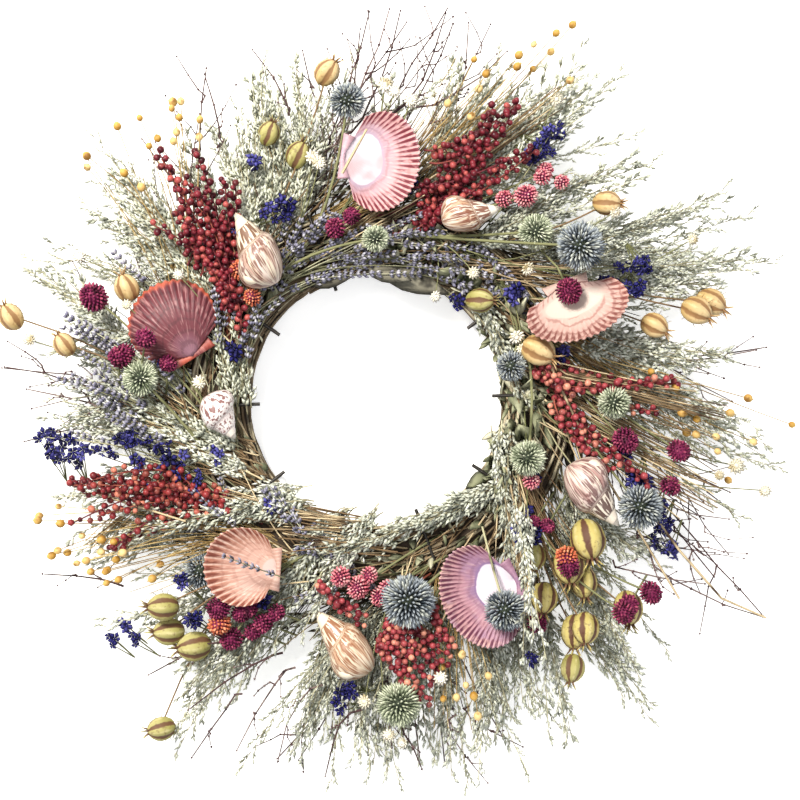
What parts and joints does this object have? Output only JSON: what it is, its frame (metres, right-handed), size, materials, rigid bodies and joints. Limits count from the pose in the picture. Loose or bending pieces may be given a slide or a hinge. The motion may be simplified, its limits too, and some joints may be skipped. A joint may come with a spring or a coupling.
{
  "type": "dried flower wreath",
  "caption": "Round wreath of dried flowers, herb sprays, seed pods and seashells on a clamped wire ring, all leaning clockwise round an open centre.",
  "frame": {"origin": "middle of the whole outline, on the plane that the back of the wire ring rests on", "axes": "+Z out of the wreath's front, towards the camera; +Y to the top of the picture; +X to its right"},
  "size_m": [0.5986, 0.591, 0.1082],
  "materials": {
    "wire": "dark, dull",
    "bound_stems": "matte, fibrous",
    "artemisia": "matte, dried leaf, silver green",
    "twig": "matte, thin dark stem",
    "pepperberry": "satin dried berry",
    "flax": "dry, golden",
    "seed_pod": "dry papery pod with purple stripes",
    "globe_thistle": "matte, blue green, bristly",
    "purple_amaranth": "matte, papery scales",
    "pink_everlasting": "matte, papery scales",
    "lavender": "matte, grey violet",
    "larkspur": "matte, deep violet blue",
    "white_everlasting": "matte, papery",
    "scallop_pink": "satin shell",
    "scallop_red": "satin ribbed shell",
    "scallop_peach": "satin shell",
    "snail_striped": "satin shell with brown stripes",
    "snail_spotted": "satin shell with brown spots"
  },
  "bodies": {
    "root": {"wire_frame": "wire", "stem_ring": "bound_stems", "globe_thistles_top": "globe_thistle", "globe_thistles_top_right": "globe_thistle", "globe_thistle_left": "globe_thistle", "globe_thistle_bottom_left": "globe_thistle", "globe_thistles_right": "globe_thistle", "globe_thistles_right_edge": "globe_thistle", "globe_thistles_bottom": "globe_thistle", "seed_pods_left": "seed_pod", "seed_pod_top": "seed_pod", "seed_pods_right": "seed_pod", "seed_pods_bottom_right": "seed_pod", "seed_pods_bottom_left": "seed_pod", "amaranths_left": "purple_amaranth", "amaranths_right": "purple_amaranth", "amaranths_bottom_right": "purple_amaranth", "amaranths_bottom_left": "purple_amaranth", "everlastings_top_right": "pink_everlasting", "everlastings_bottom": "pink_everlasting", "white_everlastings": "white_everlasting", "pepperberries_left": "pepperberry", "pepperberries_top": "pepperberry", "pepperberries_right": "pepperberry", "pepperberries_bottom": "pepperberry", "pepperberries_bottom_left": "pepperberry", "larkspur_left": "larkspur", "larkspur_top_right": "larkspur", "larkspur_right": "larkspur", "lavender_top": "lavender", "flax_left": "flax", "flax_top": "flax", "flax_right": "flax", "flax_bottom_left": "flax", "artemisia_top_left": "artemisia", "artemisia_top": "artemisia", "artemisia_top_right": "artemisia", "artemisia_right": "artemisia", "artemisia_right_low": "artemisia", "artemisia_bottom_right": "artemisia", "artemisia_bottom": "artemisia", "artemisia_bottom_left": "artemisia", "artemisia_left_low": "artemisia", "artemisia_left": "artemisia", "twigs_top": "twig", "twigs_left": "twig", "twigs_right": "twig", "twigs_bottom": "twig", "scallop_top": "scallop_pink", "scallop_left": "scallop_red", "scallop_bottom_left": "scallop_peach", "scallop_bottom": "scallop_pink", "scallop_right": "scallop_pink", "snail_shell_left": "snail_striped", "snail_shell_top": "snail_striped", "snail_shell_spotted": "snail_spotted", "snail_shell_right": "snail_striped", "snail_shell_bottom": "snail_striped", "globe_thistle_on_scallop": "globe_thistle", "amaranth_on_scallop": "purple_amaranth"}
  },
  "joints": []
}
